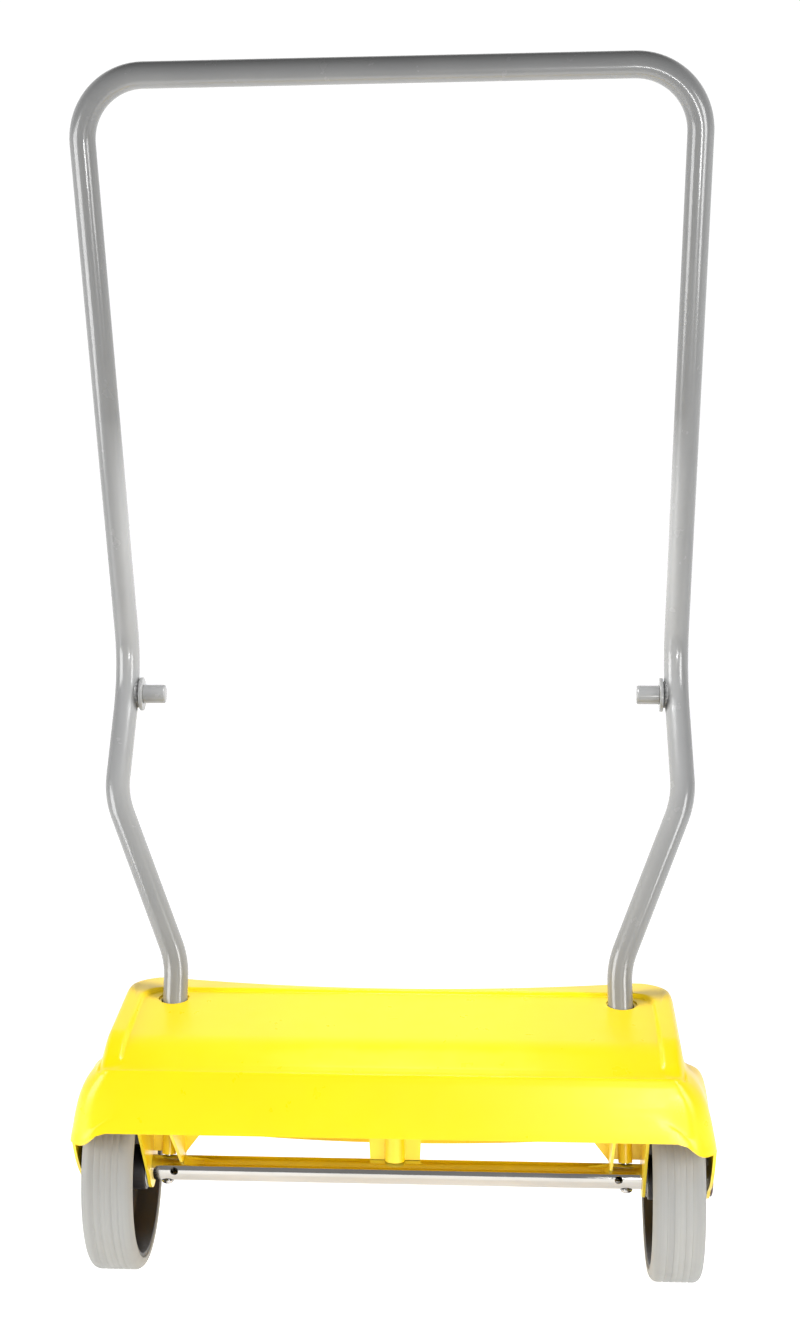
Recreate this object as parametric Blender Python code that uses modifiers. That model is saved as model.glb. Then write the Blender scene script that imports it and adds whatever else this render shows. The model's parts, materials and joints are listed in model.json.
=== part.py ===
"""Carriage of a push sweeper: a moulded hood on a cross axle with two wheels, and a bent tube handle.

Units are metres, +Z up, +X to the operator's right, +Y the way it is pushed. The operator stands at -Y.
The floor is Z = 0 and the object's box is centred on X = 0, Y = 0.
"""

import math

import bmesh
import bpy
import numpy as np
from mathutils import Matrix, Vector

# ---- driving dimensions -------------------------------------------------------------------------

GAP = 0.0003  # clearance between pieces that touch

WHEEL_RADIUS = 0.100
WHEEL_WIDTH = 0.050
WHEEL_X = 0.275  # wheel's middle, from the centre plane
TYRE_DEPTH = 0.012
HUB_IN, HUB_OUT = -0.0247, 0.0268  # hub's ends, from the wheel's middle, outwards
HUB_RADIUS = 0.022
BUSH_RADIUS = 0.0160
BUSH_LENGTH = 0.016
BUSH_LIP_RADIUS = 0.0195
BUSH_LIP = 0.0012
WASHER_RADIUS = 0.0185
AXLE_Y = -0.0050  # puts the object's box in the middle of the frame
AXLE_RADIUS = 0.0125
AXLE_WALL = 0.002
AXLE_HALF = 0.3120
CROSS_HOLE_RADIUS = 0.004

TUBE_RADIUS = 0.0125
TUBE_WALL = 0.0015
PLUG_RADIUS = 0.0100
LEG_LEAN = math.radians(9.2)  # the legs lean forward over the axle
LEG_X = 0.2292  # at the axle
LEG_SPLAY = 0.0288  # how fast the legs draw in on their way up
LEG_START = 0.051  # along the leg, from the axle's centre
LEG_BEND_Z = 0.305
WAIST_X = 0.288
WAIST_Z = 0.469
KNEE = (0.283, 0.122, 0.594)  # X, Y from the axle, Z
TOP = (0.291, -0.065, 1.169)
LEG_BEND_RADIUS = 0.085
WAIST_BEND_RADIUS = 0.080
KNEE_BEND_RADIUS = 0.110
TOP_BEND_RADIUS = 0.062

PEG_Z = 0.569
PEG_RADIUS = 0.0097
PEG_LENGTH = 0.023
FLANGE_RADIUS = 0.0175
FLANGE_THICK = 0.0035

WALL = 0.003  # hood's wall
SKIRT_Y = -0.117  # rear face of the hood, from the axle
FAR_Y = 0.098  # far face at the wheels, from the axle
FAR_SAG = 0.038  # how far the far wall bows back in the middle
FAR_SAG_HALF = 0.250
SKIRT_LOW = 0.171
CORNER_LOW = 0.157
FAR_LOW = 0.110
TONGUE_LOW = 0.080
OUTER_X = 0.3095  # outside of the hood's outer wall at the axle
CREASE_Z = 0.231
PANEL_BREAK = (-0.068, 0.2505)  # Y from the axle, Z
PANEL_END = (0.043, 0.2702)
RIM_Z = 0.274
RIDGE = 0.005

EAR_X = 0.246
EAR_TIP = 0.020  # radius of the ear's end round the axle
GUSSET_X = 0.214
BOSS_RADIUS = 0.007
SOCKET_RADIUS = 0.0165
LEG_HOLE_RADIUS = 0.0134
SCREW_RADIUS = 0.003
SCREW_HOLE_RADIUS = 0.0036
HEAD_RADIUS = 0.0062  # of the screws' dome heads
POST_HALF = 0.025
POST_RADIUS = 0.010

PUSH_RING_RADIUS = 0.0155
CAP_RADIUS = 0.018
CAP_DEPTH = 0.0044
CAP_WALL = 0.0015
CAP_BASE = OUTER_X + 0.0008  # the cap's brim, from the centre plane

SIDES = (("left", -1), ("right", 1))

# ---- scene and materials ------------------------------------------------------------------------


def clear_scene():
    for obj in list(bpy.data.objects):
        bpy.data.objects.remove(obj, do_unlink=True)


def collection(name):
    made = bpy.data.collections.new(name)
    bpy.context.scene.collection.children.link(made)
    return made


def material(name, colour, roughness, metallic=0.0):
    made = bpy.data.materials.new(name)
    made.use_nodes = True
    made.diffuse_color = (*colour, 1.0)
    shader = made.node_tree.nodes["Principled BSDF"]
    shader.inputs["Base Color"].default_value = (*colour, 1.0)
    shader.inputs["Roughness"].default_value = roughness
    shader.inputs["Metallic"].default_value = metallic
    return made


def add(name, mesh, finish):
    """A part: a named object from a mesh, with its material."""
    obj = bpy.data.objects.new(name, mesh)
    PARTS.objects.link(obj)
    obj.data.materials.clear()
    obj.data.materials.append(finish)
    return obj


def smooth(obj, angle=35):
    obj.data.shade_smooth()
    obj.data.set_sharp_from_angle(angle=math.radians(angle))


def modifier(obj, kind, **values):
    made = obj.modifiers.new(kind.title(), kind)
    for key, value in values.items():
        setattr(made, key, value)
    return made


def mesh_of(obj):
    """The object's evaluated mesh, in world space, welded."""
    bpy.context.view_layer.update()
    graph = bpy.context.evaluated_depsgraph_get()
    made = bpy.data.meshes.new_from_object(obj.evaluated_get(graph))
    made.transform(obj.matrix_world)
    bm = bmesh.new()
    bm.from_mesh(made)
    bmesh.ops.remove_doubles(bm, verts=bm.verts, dist=1e-6)
    bmesh.ops.recalc_face_normals(bm, faces=bm.faces)
    bm.to_mesh(made)
    bm.free()
    return made


def cutter(name, mesh):
    obj = bpy.data.objects.new(name, mesh)
    CUTTERS.objects.link(obj)
    obj.hide_render = True
    obj.display_type = "WIRE"
    return obj


def boolean(obj, other, operation):
    modifier(obj, "BOOLEAN", operation=operation, solver="EXACT", object=other)


def bake(obj):
    """Replaces the object's mesh by what its modifiers make."""
    made = mesh_of(obj)
    obj.modifiers.clear()
    finish = list(obj.data.materials)
    obj.data = made
    made.materials.clear()
    for each in finish:
        made.materials.append(each)


# ---- shapes -------------------------------------------------------------------------------------


def cylinder_mesh(name, radius, start, end, segments=32):
    """A solid cylinder between two points."""
    start, end = Vector(start), Vector(end)
    run = end - start
    bm = bmesh.new()
    turn = run.to_track_quat("Z", "Y").to_matrix().to_4x4()
    place = Matrix.Translation((start + end) / 2) @ turn
    bmesh.ops.create_cone(
        bm, cap_ends=True, segments=segments, radius1=radius, radius2=radius, depth=run.length, matrix=place
    )
    made = bpy.data.meshes.new(name)
    bm.to_mesh(made)
    bm.free()
    return made


def turned(name, profile, finish, x, side, segments):
    """A body of revolution about the axle: profile is a closed loop of (radius, distance outwards)."""
    loop = list(zip(profile, profile[1:] + profile[:1]))
    if sum(a[0] * b[1] - b[0] * a[1] for a, b in loop) < 0:  # a Screw's profile runs one way only
        profile = profile[::-1]
    bm = bmesh.new()
    verts = [bm.verts.new((radius, 0, -out)) for radius, out in profile]
    for a, b in zip(verts, verts[1:] + verts[:1]):
        if a.co.x > 0 or b.co.x > 0:  # an edge along the axis makes no surface
            bm.edges.new((a, b))
    mesh = bpy.data.meshes.new(name)
    bm.to_mesh(mesh)
    bm.free()
    obj = add(name, mesh, finish)
    obj.location = (side * x, AXLE_Y, WHEEL_RADIUS)
    obj.rotation_euler = (0, -side * math.pi / 2, 0)
    modifier(
        obj,
        "SCREW",
        steps=segments,
        render_steps=segments,
        use_merge_vertices=True,
        merge_threshold=1e-5,
    )
    return obj


def plate(name, outline, thickness, matrix):
    """A flat plate: an outline in its own X-Y plane, thick along its own Z."""
    curve = bpy.data.curves.new(name, "CURVE")
    curve.dimensions = "2D"
    curve.fill_mode = "BOTH"
    curve.extrude = thickness / 2
    spline = curve.splines.new("POLY")
    spline.points.add(len(outline) - 1)
    for point, (x, y) in zip(spline.points, outline):
        point.co = (x, y, 0, 1)
    spline.use_cyclic_u = True
    flat = bpy.data.objects.new(name + "_curve", curve)
    CUTTERS.objects.link(flat)
    flat.matrix_world = matrix
    made = mesh_of(flat)
    bpy.data.objects.remove(flat, do_unlink=True)
    return made


def side_plate(name, outline, x, thickness=WALL):
    """A plate in the plane X = x, whose outline holds (Y from the axle, Z)."""
    place = Matrix(((0, 0, 1, x), (1, 0, 0, AXLE_Y), (0, 1, 0, 0), (0, 0, 0, 1)))
    return plate(name, outline, thickness, place)


def front_plate(name, outline, y, thickness=WALL):
    """A plate in the plane Y = y from the axle, whose outline holds (X, Z)."""
    place = Matrix(((1, 0, 0, 0), (0, 0, -1, y + AXLE_Y), (0, 1, 0, 0), (0, 0, 0, 1)))
    return plate(name, outline, thickness, place)


def rounded_path(corners, radii, turns=5):
    """The points of a bent tube: straight runs between corners, with an arc at each inner corner."""
    corners = [Vector(c) for c in corners]
    points = [corners[0]]
    for before, corner, after, radius in zip(corners, corners[1:], corners[2:], radii):
        a, b = (before - corner).normalized(), (after - corner).normalized()
        bend = math.pi - a.angle(b)
        back = radius * math.tan(bend / 2)
        middle = corner + (a + b).normalized() * (radius / math.cos(bend / 2))
        first, last = corner + a * back - middle, corner + b * back - middle
        for i in range(turns + 1):
            part = i / turns
            spoke = (first * math.sin((1 - part) * bend) + last * math.sin(part * bend)) / math.sin(bend)
            points.append(middle + spoke)
    return points + [corners[-1]]


# ---- hood ---------------------------------------------------------------------------------------


def panel_z(y):
    """Height of the hood's top panel; y is measured from the axle."""
    line = [(SKIRT_Y + 0.009, CREASE_Z), PANEL_BREAK, PANEL_END]
    return float(np.interp(y, [point[0] for point in line], [point[1] for point in line]))


def crest_z(y):
    """Height of the raised border round the panel."""
    lift = np.interp(y, [SKIRT_Y + 0.015, -0.060, PANEL_END[0]], [0.0, RIDGE, RIM_Z - PANEL_END[1]])
    return panel_z(y) + float(lift)


def outer_low(y):
    """Lower edge of the outer wall, which hangs down in a tongue round the axle."""
    reach = [0.0, 0.008, 0.016, 0.025, 0.043, 0.062, 0.076, 0.086]
    height = [TONGUE_LOW, 0.0818, 0.0868, 0.095, 0.105, 0.122, 0.141, CORNER_LOW]
    return float(np.interp(abs(y), reach, height))


def ease(value, low, high):
    t = min(max((value - low) / (high - low), 0.0), 1.0)
    return t * t * (3 - 2 * t)


def low_z(x, y):
    """Lower edge of the hood at a point of its rim."""
    side = ease(x, 0.272, 0.300)
    end = SKIRT_LOW if y < 0 else FAR_LOW + (CORNER_LOW - FAR_LOW) * ease(x, 0.236, 0.256)
    return end * (1 - side) + outer_low(y) * side


def half_ring(half, rear, far, rear_radius, radius):
    """Half of a rounded rectangle, from its rear middle round to its far middle."""
    along, round_, back = 4, 4, 18
    points = [((half - rear_radius) * i / along, rear) for i in range(along)]
    for i in range(round_):
        a = math.pi / 2 * i / round_
        points.append((half - rear_radius * (1 - math.sin(a)), rear + rear_radius * (1 - math.cos(a))))
    for i in range(back):
        points.append((half, rear + rear_radius + (far - rear - rear_radius - radius) * i / back))
    for i in range(round_):
        a = math.pi / 2 * i / round_
        points.append((half - radius + radius * math.cos(a), far - radius + radius * math.sin(a)))
    points += [((half - radius) * (1 - i / along), far) for i in range(along + 1)]
    return points


def over_wheel(y, side_z, near_z):
    """Height over a wheel: side_z above the axle, near_z towards the rear, falling away at both ends."""
    near, corner, far = ease(-y, 0.0, 0.070), ease(-y, 0.080, 0.112), ease(y, 0.0, 0.095)
    return side_z + (near_z - side_z) * near - 0.006 * corner - 0.024 * far


def bowed(x, y, sag):
    """Moves the far wall's middle back."""
    inside = max(0.0, 1 - (x / FAR_SAG_HALF) ** 2)
    return y - sag * inside * ease(y, 0.0, 0.060)


def hood_rings():
    """Rings of the hood's outer skin, from its lower edge to the middle of its panel."""

    def wall(share):
        """Level that is share of the way up the lower wall."""

        def level(x, y):
            over = ease(x, 0.260, 0.300)
            top = 0.188 * (1 - over) + over_wheel(y, 0.188, 0.172) * over
            return low_z(x, y) * (1 - share) + top * share

        return level

    def step(side_z, near_z, skirt_z, far_z):
        """Level of a ledge over the wheels that is skirt_z or far_z on the two long walls."""

        def level(x, y):
            over = ease(x, 0.252, 0.284)
            return (skirt_z if y < 0 else far_z) * (1 - over) + over_wheel(y, side_z, near_z) * over

        return level

    def crest(drop):
        return lambda x, y: crest_z(y) - drop

    def panel(x, y):
        return panel_z(y)

    levels = [
        (OUTER_X + 0.0005, SKIRT_Y, FAR_Y + 0.003, 0.030, 0.040, FAR_SAG, low_z),
        (0.3088, SKIRT_Y + 0.0006, FAR_Y + 0.002, 0.029, 0.040, FAR_SAG, wall(0.5)),
        (0.3072, SKIRT_Y + 0.0014, FAR_Y + 0.001, 0.028, 0.040, FAR_SAG, wall(1.0)),
        (0.3030, SKIRT_Y + 0.0025, FAR_Y, 0.025, 0.040, FAR_SAG, step(0.2035, 0.1930, 0.200, 0.200)),
        (0.2935, SKIRT_Y + 0.0034, FAR_Y - 0.001, 0.020, 0.040, FAR_SAG, step(0.2112, 0.2175, 0.209, 0.211)),
        (0.2855, SKIRT_Y + 0.0043, FAR_Y - 0.002, 0.016, 0.040, FAR_SAG, step(0.2165, 0.2265, 0.217, 0.224)),
        (0.2820, SKIRT_Y + 0.0051, FAR_Y - 0.003, 0.014, 0.040, FAR_SAG, step(0.2310, 0.2305, 0.2235, 0.240)),
        (0.2765, SKIRT_Y + 0.0064, FAR_Y - 0.004, 0.0112, 0.039, FAR_SAG, crest(0.0055)),
        (0.2710, SKIRT_Y + 0.0086, FAR_Y - 0.007, 0.0096, 0.037, FAR_SAG, crest(0.0)),
        (0.2600, SKIRT_Y + 0.0150, PANEL_END[0] + 0.003, 0.0080, 0.027, 0.0, crest(0.0)),
        (0.2550, SKIRT_Y + 0.0190, PANEL_END[0], 0.0070, 0.022, 0.0, panel),
        (0.2250, PANEL_BREAK[0], PANEL_END[0] - 0.015, 0.006, 0.015, 0.0, panel),
        (0.1500, PANEL_BREAK[0] + 0.03, PANEL_END[0] - 0.04, 0.005, 0.010, 0.0, panel),
    ]
    rings = []
    for half, rear, far, rear_radius, radius, sag, height in levels:
        flat = half_ring(half, rear, far, rear_radius, radius)
        rings.append([(x, bowed(x, y, sag) + AXLE_Y, height(x, y)) for x, y in flat])
    return rings


def hood_skin():
    """The hood's wall: half of the outer skin, mirrored and thickened inwards."""
    bm = bmesh.new()
    rows = [[bm.verts.new(point) for point in ring] for ring in hood_rings()]
    for low, high in zip(rows, rows[1:]):
        for i in range(len(low) - 1):
            bm.faces.new((low[i], low[i + 1], high[i + 1], high[i]))
    bm.faces.new(rows[-1])
    mesh = bpy.data.meshes.new("hood_shell")
    bm.to_mesh(mesh)
    bm.free()
    hood = add("hood_shell", mesh, YELLOW)
    modifier(hood, "MIRROR", use_axis=(True, False, False), use_clip=True, merge_threshold=1e-4)
    modifier(hood, "SOLIDIFY", thickness=WALL, offset=-1, use_even_offset=True, use_rim=True)
    bake(hood)
    return hood


def leg_point(side, along):
    """A point on a leg's axis, by its distance from the axle's centre."""
    ahead, above = along * math.sin(LEG_LEAN), along * math.cos(LEG_LEAN)
    return Vector((side * (LEG_X - LEG_SPLAY * above), AXLE_Y + ahead, WHEEL_RADIUS + above))


def under_panel(y):
    return panel_z(y) - WALL / 2


def ear_outline():
    """A pointed plate round the axle, up to the panel: (Y from the axle, Z)."""
    angles = np.linspace(0.35, math.pi - 0.35, 9)
    tip = [(-EAR_TIP * math.cos(a), WHEEL_RADIUS - EAR_TIP * math.sin(a)) for a in angles]
    top = [(y, under_panel(y)) for y in (0.046, 0.020, PANEL_BREAK[0], -0.085)]
    return tip + [(0.060, 0.172)] + top + [(-0.085, 0.174), (-0.068, 0.152)]


def gusset_outline():
    """A triangle that straddles the axle, whose bore is cut later."""
    low = WHEEL_RADIUS + 0.0095
    top = [(y, under_panel(y)) for y in (0.046, PANEL_BREAK[0], -0.085)]
    return [(-0.012, low), (0.012, low), (0.052, 0.172), *top, (-0.085, 0.180), (-0.076, 0.158)]


def web_outline(side):
    """The plate across a leg's screw boss, between gusset and ear: (X, Z)."""
    top = under_panel(0.010)
    inner, outer = side * GUSSET_X, side * EAR_X
    brace = side * 0.1935
    return [(inner, 0.1155), (outer, 0.1155), (outer, top), (brace, top), (brace, 0.138), (inner, 0.107)]


def socket_mesh(side):
    """The solid from which a leg's socket is bored: its upper end follows the panel."""
    low, high = leg_point(side, LEG_START - 0.005), leg_point(side, LEG_START + 0.100)
    made = cylinder_mesh("socket", SOCKET_RADIUS, low, high, 20)
    lean = (high - low).normalized()
    for vert in made.vertices:
        if (vert.co - low).dot(lean) > 0.05:
            rise = under_panel(vert.co.y - AXLE_Y) - vert.co.z
            vert.co += lean * (rise / lean.z)
    return made


def hood_shell():
    hood = hood_skin()
    axle_top = WHEEL_RADIUS + AXLE_RADIUS + GAP
    joined = []
    for name, side in SIDES:
        joined.append(side_plate("ear_" + name, ear_outline(), side * EAR_X))
        joined.append(side_plate("gusset_" + name, gusset_outline(), side * GUSSET_X))
        joined.append(front_plate("web_" + name, web_outline(side), 0.006))
        joined.append(socket_mesh(side))
        low = leg_point(side, AXLE_RADIUS + GAP + 0.0008)
        joined.append(cylinder_mesh("boss", BOSS_RADIUS, low, leg_point(side, LEG_START), 14))
    top = under_panel(0.0)
    flare = POST_HALF + 0.006
    post = [(-POST_HALF, axle_top), (POST_HALF, axle_top), (flare, top), (-flare, top)]
    joined.append(front_plate("post", post, 0.0))
    boss_y = AXLE_Y - 0.003
    foot, head = (0, boss_y, axle_top), (0, boss_y, panel_z(-0.014))
    joined.append(cylinder_mesh("post_boss", POST_RADIUS, foot, head, 14))
    for mesh in joined:
        boolean(hood, cutter("join_" + mesh.name, mesh), "UNION")
        bake(hood)
    ends = [(x, AXLE_Y, WHEEL_RADIUS) for x in (-0.4, 0.4)]
    holes = [cylinder_mesh("axle_hole", AXLE_RADIUS + GAP, *ends, 24)]
    for _, side in SIDES:
        start, end = leg_point(side, LEG_START - GAP), leg_point(side, 0.300)
        holes.append(cylinder_mesh("leg_hole", LEG_HOLE_RADIUS, start, end, 20))
        start, end = leg_point(side, 0), leg_point(side, LEG_START + 0.024)
        holes.append(cylinder_mesh("screw_hole", SCREW_HOLE_RADIUS, start, end, 10))
    for mesh in holes:
        boolean(hood, cutter("cut_" + mesh.name, mesh), "DIFFERENCE")
        bake(hood)
    smooth(hood)
    return hood


# ---- handle -------------------------------------------------------------------------------------


def handle_corners():
    """The right half of the handle's bends, from the leg's end to the top corner."""
    slope = math.tan(LEG_LEAN)
    rise = LEG_BEND_Z - WHEEL_RADIUS
    bend = (LEG_X - LEG_SPLAY * rise, AXLE_Y + rise * slope, LEG_BEND_Z)
    waist = (WAIST_X, AXLE_Y + (WAIST_Z - WHEEL_RADIUS) * slope, WAIST_Z)
    knee = (KNEE[0], KNEE[1] + AXLE_Y, KNEE[2])
    top = (TOP[0], TOP[1] + AXLE_Y, TOP[2])
    return [tuple(leg_point(1, LEG_START)), bend, waist, knee, top]


def handle_tube():
    """The handle: one tube bent to a U, open at its two leg ends."""
    right = handle_corners()
    corners = [(-x, y, z) for x, y, z in right] + right[::-1]
    bends = [LEG_BEND_RADIUS, WAIST_BEND_RADIUS, KNEE_BEND_RADIUS, TOP_BEND_RADIUS]
    points = rounded_path(corners, bends + bends[::-1])
    curve = bpy.data.curves.new("handle_path", "CURVE")
    curve.dimensions = "3D"
    curve.bevel_depth = TUBE_RADIUS
    curve.bevel_resolution = 3
    curve.use_fill_caps = False
    spline = curve.splines.new("POLY")
    spline.points.add(len(points) - 1)
    for point, place in zip(spline.points, points):
        point.co = (*place, 1)
    path = bpy.data.objects.new("handle_path", curve)
    CUTTERS.objects.link(path)
    mesh = mesh_of(path)
    bpy.data.objects.remove(path, do_unlink=True)
    tube = add("handle_tube", mesh, GREY)
    modifier(tube, "SOLIDIFY", thickness=TUBE_WALL, offset=-1, use_even_offset=True, use_rim=True)
    smooth(tube)
    return tube


def leg_plug(name, side):
    """The threaded insert in a leg's end, which the axle screw pulls down."""
    start, end = leg_point(side, LEG_START + 0.001), leg_point(side, LEG_START + 0.031)
    plug = add("handle_plug_" + name, cylinder_mesh("plug", PLUG_RADIUS, start, end, 20), STEEL)
    below, above = leg_point(side, LEG_START - 0.01), leg_point(side, 0.2)
    hole = cylinder_mesh("plug_hole", SCREW_RADIUS + GAP, below, above, 12)
    boolean(plug, cutter("cut_plug_" + name, hole), "DIFFERENCE")
    smooth(plug)


def peg_place(side):
    """Where a peg's axis leaves the tube's inner side."""
    run = (PEG_Z - WAIST_Z) / (KNEE[2] - WAIST_Z)
    waist_y = (WAIST_Z - WHEEL_RADIUS) * math.tan(LEG_LEAN)
    y = AXLE_Y + waist_y + (KNEE[1] - waist_y) * run
    return Vector((side * (WAIST_X + (KNEE[0] - WAIST_X) * run - TUBE_RADIUS), y, PEG_Z))


def peg(name, side):
    """A pin welded to a flange on the handle, pointing inwards."""
    base = peg_place(side) - Vector((side * 0.0016, 0, 0))
    inner = base - Vector((side * FLANGE_THICK, 0, 0))
    flange = add("peg_flange_" + name, cylinder_mesh("flange", FLANGE_RADIUS, base, inner, 28), GREY)
    modifier(flange, "BEVEL", width=0.0006, segments=1, limit_method="ANGLE")
    smooth(flange)
    start = inner - Vector((side * GAP, 0, 0))
    end = start - Vector((side * PEG_LENGTH, 0, 0))
    pin = add("peg_" + name, cylinder_mesh("peg", PEG_RADIUS, start, end, 24), GREY)
    modifier(pin, "BEVEL", width=0.0012, segments=1, limit_method="ANGLE")
    smooth(pin)


# ---- axle and wheels ----------------------------------------------------------------------------


def axle_tube():
    """The fixed cross axle, drilled for the two leg screws and for two idle cross holes."""
    ends = [(x, AXLE_Y, WHEEL_RADIUS) for x in (-AXLE_HALF, AXLE_HALF)]
    axle = add("axle_tube", cylinder_mesh("axle", AXLE_RADIUS, *ends, 24), CHROME)
    past = [(x * 1.1, y, z) for x, y, z in ends]
    bores = [cylinder_mesh("bore", AXLE_RADIUS - AXLE_WALL, *past, 24)]
    for _, side in SIDES:
        below, above = leg_point(side, -0.03), leg_point(side, 0.03)
        bores.append(cylinder_mesh("screw_bore", SCREW_HOLE_RADIUS, below, above, 10))
        x = side * (LEG_X - 0.0076)
        rear, far = (x, AXLE_Y - 0.03, WHEEL_RADIUS), (x, AXLE_Y + 0.03, WHEEL_RADIUS)
        bores.append(cylinder_mesh("cross_bore", CROSS_HOLE_RADIUS, rear, far, 12))
    for mesh in bores:
        boolean(axle, cutter("cut_" + mesh.name, mesh), "DIFFERENCE")
        bake(axle)
    smooth(axle)
    return axle


def axle_screw(name, side):
    """A dome-head screw from under the axle up into a leg's plug."""
    under = -(AXLE_RADIUS + GAP)
    shank = cylinder_mesh("shank", SCREW_RADIUS, leg_point(side, under - 0.001), leg_point(side, 0.078), 12)
    screw = add("axle_screw_" + name, shank, STEEL)
    bm = bmesh.new()
    axis = leg_point(side, 1) - leg_point(side, 0)
    turn = axis.to_track_quat("Z", "Y").to_matrix().to_4x4()
    squash = Matrix.Diagonal((1, 1, 0.62, 1))
    place = Matrix.Translation(leg_point(side, under)) @ turn @ squash
    bmesh.ops.create_uvsphere(bm, u_segments=16, v_segments=8, radius=HEAD_RADIUS, matrix=place)
    whole = list(bm.verts) + list(bm.edges) + list(bm.faces)
    seat = leg_point(side, under)
    cut = bmesh.ops.bisect_plane(bm, geom=whole, plane_co=seat, plane_no=axis, clear_outer=True)
    rim = [part for part in cut["geom_cut"] if isinstance(part, bmesh.types.BMEdge)]
    bmesh.ops.contextual_create(bm, geom=rim)
    head = bpy.data.meshes.new("head")
    bm.to_mesh(head)
    bm.free()
    boolean(screw, cutter("join_head_" + name, head), "UNION")
    bake(screw)
    smooth(screw)


def tyre(name, side):
    """A solid grey tyre with rounded shoulders."""
    half, seat = WHEEL_WIDTH / 2, WHEEL_RADIUS - TYRE_DEPTH + GAP
    shoulder = 0.008
    tread = []
    for i in range(5):
        a = math.pi / 2 * i / 4
        out, along = shoulder * math.sin(a), shoulder * math.cos(a)
        tread.append((WHEEL_RADIUS - shoulder + out, -half + shoulder - along))
    far = [(radius, -out) for radius, out in reversed(tread)]
    profile = [(seat, -half), *tread, *far, (seat, half)]
    obj = turned("tyre_" + name, profile, TYRE_GREY, WHEEL_X, side, 40)
    smooth(obj, 40)


def wheel_rim(name, side):
    """A dished plastic wheel centre: a seat for the tyre, a web and a long hub."""
    seat = WHEEL_RADIUS - TYRE_DEPTH
    half = WHEEL_WIDTH / 2 - 0.0012
    bore = BUSH_RADIUS + GAP
    profile = [
        (bore, HUB_IN),
        (HUB_RADIUS - 0.001, HUB_IN),
        (HUB_RADIUS, HUB_IN + 0.001),
        (HUB_RADIUS + 0.001, 0.001),
        (0.034, 0.004),
        (0.070, 0.004),
        (0.080, -0.001),
        (0.0835, -half),
        (seat, -half),
        (seat, half),
        (0.0835, half),
        (0.081, 0.011),
        (0.070, 0.008),
        (0.034, 0.008),
        (HUB_RADIUS + 0.001, 0.012),
        (HUB_RADIUS, HUB_OUT - 0.001),
        (HUB_RADIUS - 0.001, HUB_OUT),
        (bore, HUB_OUT),
    ]
    obj = turned("wheel_rim_" + name, profile, BLACK, WHEEL_X, side, 28)
    smooth(obj)


def wheel_bushes(name, side):
    """Two flanged bushes in the hub, which turn with the wheel on the axle."""
    bore = AXLE_RADIUS + GAP
    for place, end, into in (("inner", HUB_IN, 1), ("outer", HUB_OUT, -1)):
        face = end - into * GAP
        profile = [
            (bore, face - into * BUSH_LIP),
            (BUSH_LIP_RADIUS, face - into * BUSH_LIP),
            (BUSH_LIP_RADIUS, face),
            (BUSH_RADIUS, face),
            (BUSH_RADIUS, face + into * BUSH_LENGTH),
            (bore, face + into * BUSH_LENGTH),
        ]
        smooth(turned(f"wheel_bush_{place}_{name}", profile, NYLON, WHEEL_X, side, 24))


def steel_ring(name, outer, low, high, side):
    """A plain ring on the axle, between two distances from the centre plane."""
    bore = AXLE_RADIUS + GAP
    profile = [(bore, low), (outer, low), (outer, high), (bore, high)]
    smooth(turned(name, profile, STEEL, 0.0, side, 24))


def axle_rings(name, side):
    """The washers each side of a wheel, and the push-on ring on the axle's end."""
    lip = GAP + BUSH_LIP + GAP
    ear = EAR_X + WALL / 2 + GAP
    steel_ring("axle_washer_inner_" + name, WASHER_RADIUS, ear, WHEEL_X + HUB_IN - lip, side)
    wall = OUTER_X - 0.0052
    steel_ring("axle_washer_outer_" + name, WASHER_RADIUS, WHEEL_X + HUB_OUT + lip, wall, side)
    steel_ring("axle_push_ring_" + name, PUSH_RING_RADIUS, CAP_BASE, CAP_BASE + 0.0012, side)


def axle_end_cap(name, side):
    """A hollow dome pushed over the axle's end."""
    top = CAP_BASE + CAP_DEPTH
    inner = CAP_RADIUS - CAP_WALL
    dome = 0.0022
    outside = [(CAP_RADIUS, CAP_BASE), (CAP_RADIUS, top - dome)]
    inside = [(inner, CAP_BASE), (inner, top - dome - CAP_WALL)]
    steps = 4
    for i in range(1, steps + 1):
        a = math.pi / 2 * i / steps
        share = math.cos(a) ** 0.6 if i < steps else 0.0
        rise = dome * math.sin(a)
        outside.append((CAP_RADIUS * share, top - dome + rise))
        inside.append((inner * share, top - dome - CAP_WALL + rise))
    smooth(turned("axle_end_cap_" + name, outside + inside[::-1], MAROON, 0.0, side, 28))


# ---- assembly -----------------------------------------------------------------------------------

clear_scene()
PARTS = collection("sweeper_carriage")
CUTTERS = collection("cutters")
YELLOW = material("yellow_plastic", (1.0, 0.80, 0.0), 0.32)
GREY = material("grey_paint", (0.42, 0.43, 0.43), 0.30)
CHROME = material("chrome", (0.80, 0.80, 0.80), 0.10, 1.0)
STEEL = material("zinc_steel", (0.62, 0.62, 0.62), 0.30, 1.0)
TYRE_GREY = material("grey_tyre", (0.50, 0.50, 0.48), 0.70)
BLACK = material("black_plastic", (0.012, 0.010, 0.010), 0.45)
NYLON = material("white_nylon", (0.75, 0.74, 0.70), 0.45)
MAROON = material("maroon_plastic", (0.060, 0.015, 0.020), 0.35)

hood_shell()
handle_tube()
axle_tube()
for side_name, side_sign in SIDES:
    leg_plug(side_name, side_sign)
    peg(side_name, side_sign)
    axle_screw(side_name, side_sign)
    tyre(side_name, side_sign)
    wheel_rim(side_name, side_sign)
    wheel_bushes(side_name, side_sign)
    axle_rings(side_name, side_sign)
    axle_end_cap(side_name, side_sign)
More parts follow.
